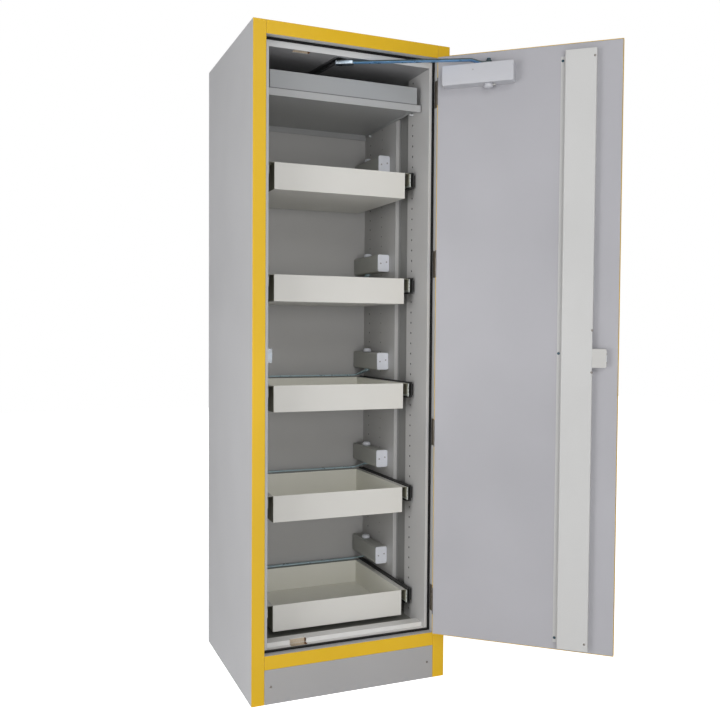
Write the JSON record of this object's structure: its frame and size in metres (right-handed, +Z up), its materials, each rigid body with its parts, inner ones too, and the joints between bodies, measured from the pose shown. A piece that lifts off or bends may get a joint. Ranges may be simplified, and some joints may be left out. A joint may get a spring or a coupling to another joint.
{
  "type": "safety storage cabinet with drawers",
  "caption": "Tall fire-resistant storage cabinet with one hinged door, self-closing pull-out trays on full-extension runners, a shelf with a flat tray and a three-point lock.",
  "frame": {"origin": "centre of the cabinet's footprint on the floor, door left out", "axes": "+X to the right seen from the front, +Y from the front to the back, +Z up; the door stands open and the drawers are pushed in"},
  "size_m": [0.9848, 0.934, 1.95],
  "materials": {
    "body_grey": "light grey powder coat",
    "frame_yellow": "signal yellow powder coat, satin",
    "inner_grey": "light grey powder coat, satin",
    "seal_black": "black foam and rubber profile",
    "tray_white": "cream white powder coat",
    "cover_white": "white powder coat",
    "closer_white": "white lacquered die casting",
    "closer_grey": "light grey lacquered housing",
    "zinc": "zinc plated",
    "runner_black": "black coated steel",
    "bronze": "dark bronze coated steel",
    "handle_black": "black polyamide",
    "board_brown": "pressed board",
    "insulation": "mineral insulating board"
  },
  "bodies": {
    "cabinet": {"side_panel_left": "body_grey", "side_panel_right": "body_grey", "back_panel": "body_grey", "roof_panel": "body_grey", "base_pan": "body_grey", "frame_post_left": "frame_yellow", "frame_post_right": "frame_yellow", "frame_top_rail": "frame_yellow", "frame_bottom_rail": "frame_yellow", "plinth_panel": "body_grey", "plinth_screws": "zinc", "door_stop_frame": "inner_grey", "door_seal": "seal_black", "liner_left": "inner_grey", "liner_right": "inner_grey", "liner_back": "inner_grey", "ceiling_panel": "inner_grey", "closer_track": "runner_black", "floor_panel": "inner_grey", "strike_pockets": "board_brown", "insulation_boards": "insulation", "top_shelf": "inner_grey", "shelf_tray": "inner_grey", "shelf_studs": "zinc", "latch_keeper": "zinc", "hinge_frame_leaves": "bronze", "runner_cabinet_members": "runner_black", "drawer_closer_bodies": "closer_grey", "drawer_closer_caps": "closer_white", "drawer_closer_knobs": "closer_white"},
    "door": {"door_outer_pan": "frame_yellow", "door_inner_panel": "inner_grey", "door_core": "insulation", "hinge_door_leaves": "bronze", "lock_cover": "cover_white", "latch_case": "zinc", "door_closer_body": "closer_white", "door_closer_knob": "closer_white", "handle_plate": "handle_black"},
    "closer_arm": {"door_closer_arm": "zinc"},
    "closer_slider": {"closer_slider": "zinc"},
    "handle": {"door_handle": "handle_black"},
    "bolt": {"latch_bolt": "zinc"},
    "rod_top": {"lock_rod_top": "zinc"},
    "rod_bottom": {"lock_rod_bottom": "zinc"},
    "drawer_1": {"drawer_1_tray": "tray_white"},
    "drawer_1_middle": {"drawer_1_middle_members": "runner_black"},
    "drawer_1_arm": {"drawer_1_closer_arm": "zinc"},
    "drawer_2": {"drawer_2_tray": "tray_white"},
    "drawer_2_middle": {"drawer_2_middle_members": "runner_black"},
    "drawer_2_arm": {"drawer_2_closer_arm": "zinc"},
    "drawer_3": {"drawer_3_tray": "tray_white"},
    "drawer_3_middle": {"drawer_3_middle_members": "runner_black"},
    "drawer_3_arm": {"drawer_3_closer_arm": "zinc"},
    "drawer_4": {"drawer_4_tray": "tray_white"},
    "drawer_4_middle": {"drawer_4_middle_members": "runner_black"},
    "drawer_4_arm": {"drawer_4_closer_arm": "zinc"},
    "drawer_5": {"drawer_5_tray": "tray_white"},
    "drawer_5_middle": {"drawer_5_middle_members": "runner_black"},
    "drawer_5_arm": {"drawer_5_closer_arm": "zinc"}
  },
  "joints": [
    {"name": "door_hinge", "type": "hinge", "parent": "cabinet", "child": "door", "pos_m": [0.2715, -0.2795, 1], "axis": [0, 0, 1], "range_deg": [-138.25, 0]},
    {"name": "closer_arm_pivot", "type": "hinge", "parent": "door", "child": "closer_arm", "pos_m": [0.36506, -0.41796, 1.88], "axis": [0, 0, 1], "range_deg": [0, 101.39]},
    {"name": "closer_slider_slide", "type": "slide", "parent": "cabinet", "child": "closer_slider", "axis": [-0.1305, 0.9914, 0], "range_m": [0, 0.3805]},
    {"name": "handle_turn", "type": "hinge", "parent": "door", "child": "handle", "pos_m": [0.58932, -0.56317, 1.006], "axis": [-0.6659, -0.7461, 0], "range_deg": [0, 45]},
    {"name": "bolt_slide", "type": "slide", "parent": "door", "child": "bolt", "axis": [0.7461, -0.6659, 0], "range_m": [0, 0.0121]},
    {"name": "rod_top_slide", "type": "slide", "parent": "door", "child": "rod_top", "axis": [0, 0, 1], "range_m": [0, 0.0121]},
    {"name": "rod_bottom_slide", "type": "slide", "parent": "door", "child": "rod_bottom", "axis": [0, 0, -1], "range_m": [0, 0.0121]},
    {"name": "drawer_1_slide", "type": "slide", "parent": "cabinet", "child": "drawer_1", "axis": [0, -1, 0], "range_m": [0, 0.38]},
    {"name": "drawer_1_middle_slide", "type": "slide", "parent": "cabinet", "child": "drawer_1_middle", "axis": [0, -1, 0], "range_m": [0, 0.1901]},
    {"name": "drawer_1_arm_pivot", "type": "hinge", "parent": "cabinet", "child": "drawer_1_arm", "pos_m": [0.2295, 0.16, 0.28], "axis": [0, 0, 1], "range_deg": [0, 60.54]},
    {"name": "drawer_2_slide", "type": "slide", "parent": "cabinet", "child": "drawer_2", "axis": [0, -1, 0], "range_m": [0, 0.38]},
    {"name": "drawer_2_middle_slide", "type": "slide", "parent": "cabinet", "child": "drawer_2_middle", "axis": [0, -1, 0], "range_m": [0, 0.1901]},
    {"name": "drawer_2_arm_pivot", "type": "hinge", "parent": "cabinet", "child": "drawer_2_arm", "pos_m": [0.2295, 0.16, 0.612], "axis": [0, 0, 1], "range_deg": [0, 60.54]},
    {"name": "drawer_3_slide", "type": "slide", "parent": "cabinet", "child": "drawer_3", "axis": [0, -1, 0], "range_m": [0, 0.38]},
    {"name": "drawer_3_middle_slide", "type": "slide", "parent": "cabinet", "child": "drawer_3_middle", "axis": [0, -1, 0], "range_m": [0, 0.1901]},
    {"name": "drawer_3_arm_pivot", "type": "hinge", "parent": "cabinet", "child": "drawer_3_arm", "pos_m": [0.2295, 0.16, 0.944], "axis": [0, 0, 1], "range_deg": [0, 60.54]},
    {"name": "drawer_4_slide", "type": "slide", "parent": "cabinet", "child": "drawer_4", "axis": [0, -1, 0], "range_m": [0, 0.38]},
    {"name": "drawer_4_middle_slide", "type": "slide", "parent": "cabinet", "child": "drawer_4_middle", "axis": [0, -1, 0], "range_m": [0, 0.1901]},
    {"name": "drawer_4_arm_pivot", "type": "hinge", "parent": "cabinet", "child": "drawer_4_arm", "pos_m": [0.2295, 0.16, 1.276], "axis": [0, 0, 1], "range_deg": [0, 60.54]},
    {"name": "drawer_5_slide", "type": "slide", "parent": "cabinet", "child": "drawer_5", "axis": [0, -1, 0], "range_m": [0, 0.38]},
    {"name": "drawer_5_middle_slide", "type": "slide", "parent": "cabinet", "child": "drawer_5_middle", "axis": [0, -1, 0], "range_m": [0, 0.1901]},
    {"name": "drawer_5_arm_pivot", "type": "hinge", "parent": "cabinet", "child": "drawer_5_arm", "pos_m": [0.2295, 0.16, 1.608], "axis": [0, 0, 1], "range_deg": [0, 60.54]}
  ],
  "couplings": [
    {"joint": "closer_arm_pivot", "follows": "door_hinge", "ratio": -0.733},
    {"joint": "closer_slider_slide", "follows": "door_hinge", "m_per_rad": -0.15761},
    {"joint": "bolt_slide", "follows": "handle_turn", "m_per_rad": 0.015279},
    {"joint": "rod_top_slide", "follows": "handle_turn", "m_per_rad": 0.015279},
    {"joint": "rod_bottom_slide", "follows": "handle_turn", "m_per_rad": 0.015279},
    {"joint": "drawer_1_middle_slide", "follows": "drawer_1_slide", "ratio": 0.5},
    {"joint": "drawer_1_arm_pivot", "follows": "drawer_1_slide", "rad_per_m": 2.7783},
    {"joint": "drawer_2_middle_slide", "follows": "drawer_2_slide", "ratio": 0.5},
    {"joint": "drawer_2_arm_pivot", "follows": "drawer_2_slide", "rad_per_m": 2.7783},
    {"joint": "drawer_3_middle_slide", "follows": "drawer_3_slide", "ratio": 0.5},
    {"joint": "drawer_3_arm_pivot", "follows": "drawer_3_slide", "rad_per_m": 2.7783},
    {"joint": "drawer_4_middle_slide", "follows": "drawer_4_slide", "ratio": 0.5},
    {"joint": "drawer_4_arm_pivot", "follows": "drawer_4_slide", "rad_per_m": 2.7783},
    {"joint": "drawer_5_middle_slide", "follows": "drawer_5_slide", "ratio": 0.5},
    {"joint": "drawer_5_arm_pivot", "follows": "drawer_5_slide", "rad_per_m": 2.7783}
  ]
}
